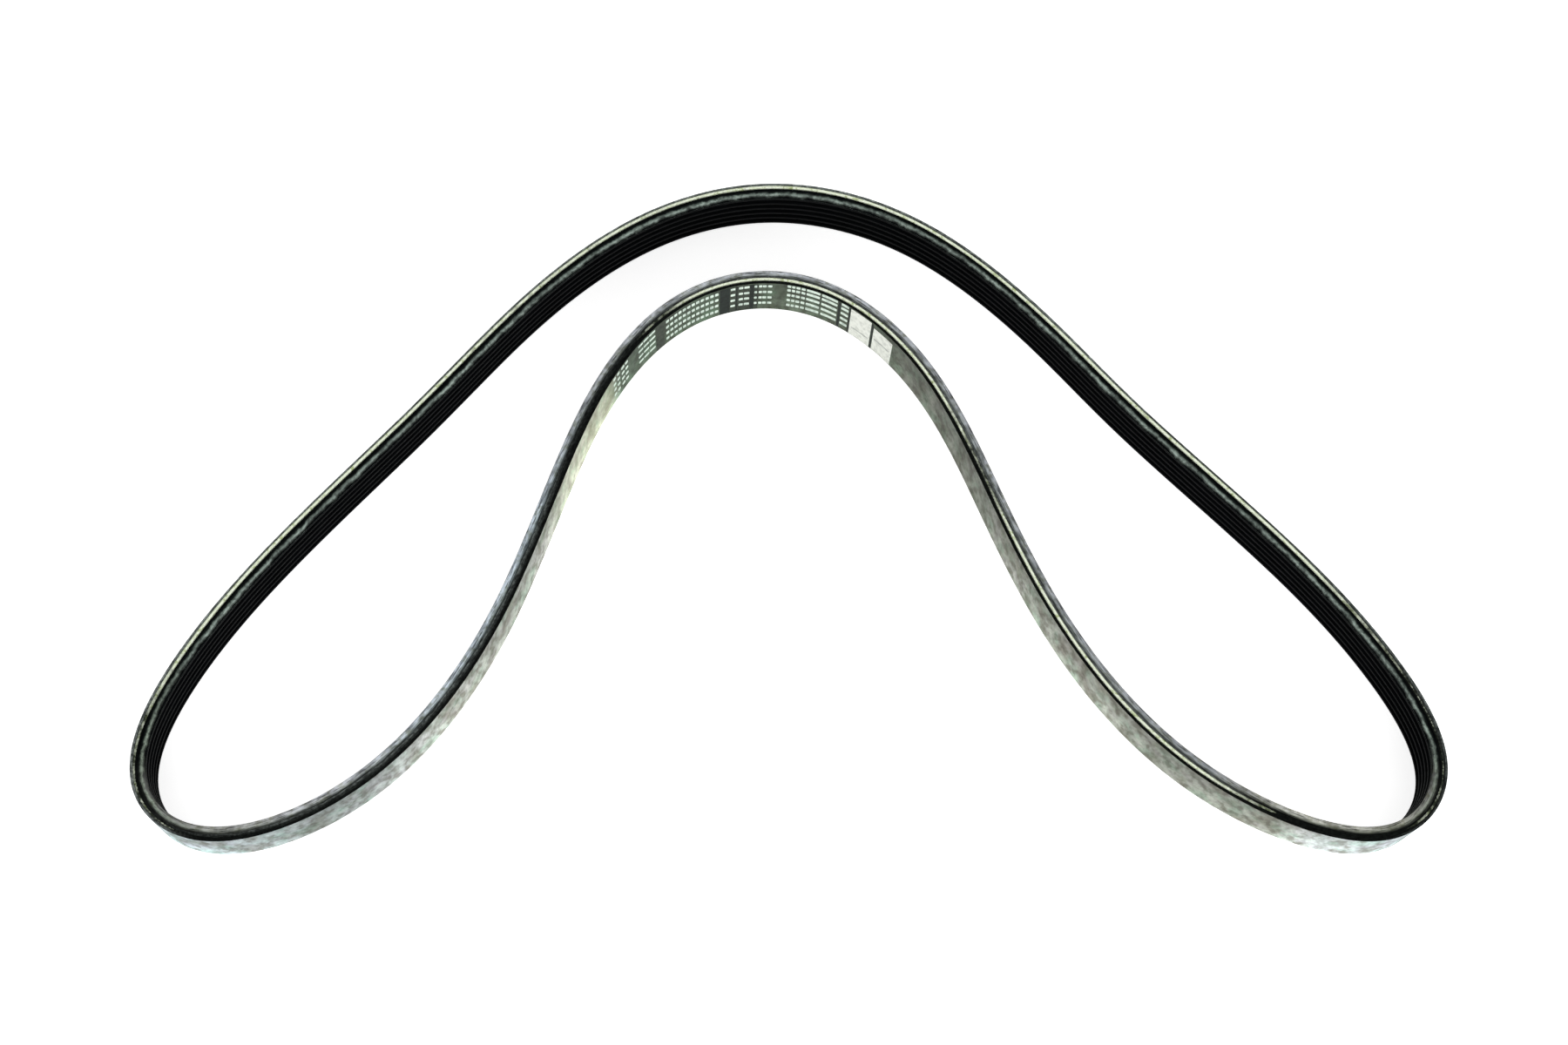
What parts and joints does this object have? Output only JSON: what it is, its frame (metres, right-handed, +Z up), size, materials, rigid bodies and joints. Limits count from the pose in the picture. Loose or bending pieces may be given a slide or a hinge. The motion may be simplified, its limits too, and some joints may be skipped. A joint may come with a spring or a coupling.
{
  "type": "serpentine belt",
  "caption": "Endless ribbed rubber drive belt for engine accessories, standing on its cut edge in the slack horseshoe loop that it takes off its pulleys.",
  "frame": {"origin": "under the middle of the loop's extent, on the surface that the belt stands on", "axes": "+X from the left lobe to the right lobe, +Y from the lobes to the crown, +Z up across the belt's width"},
  "size_m": [0.3622, 0.1926, 0.0214],
  "materials": {
    "rubber": "matt black rubber with fine fibres, ground ribs",
    "back_cover": "grey mottled cover with a fine cross grain",
    "tensile_cord": "twisted cream cord, cut open along the edge",
    "print_ink": "matt pale ink, a little worn"
  },
  "bodies": {
    "root": {"belt": "rubber"}
  },
  "joints": []
}
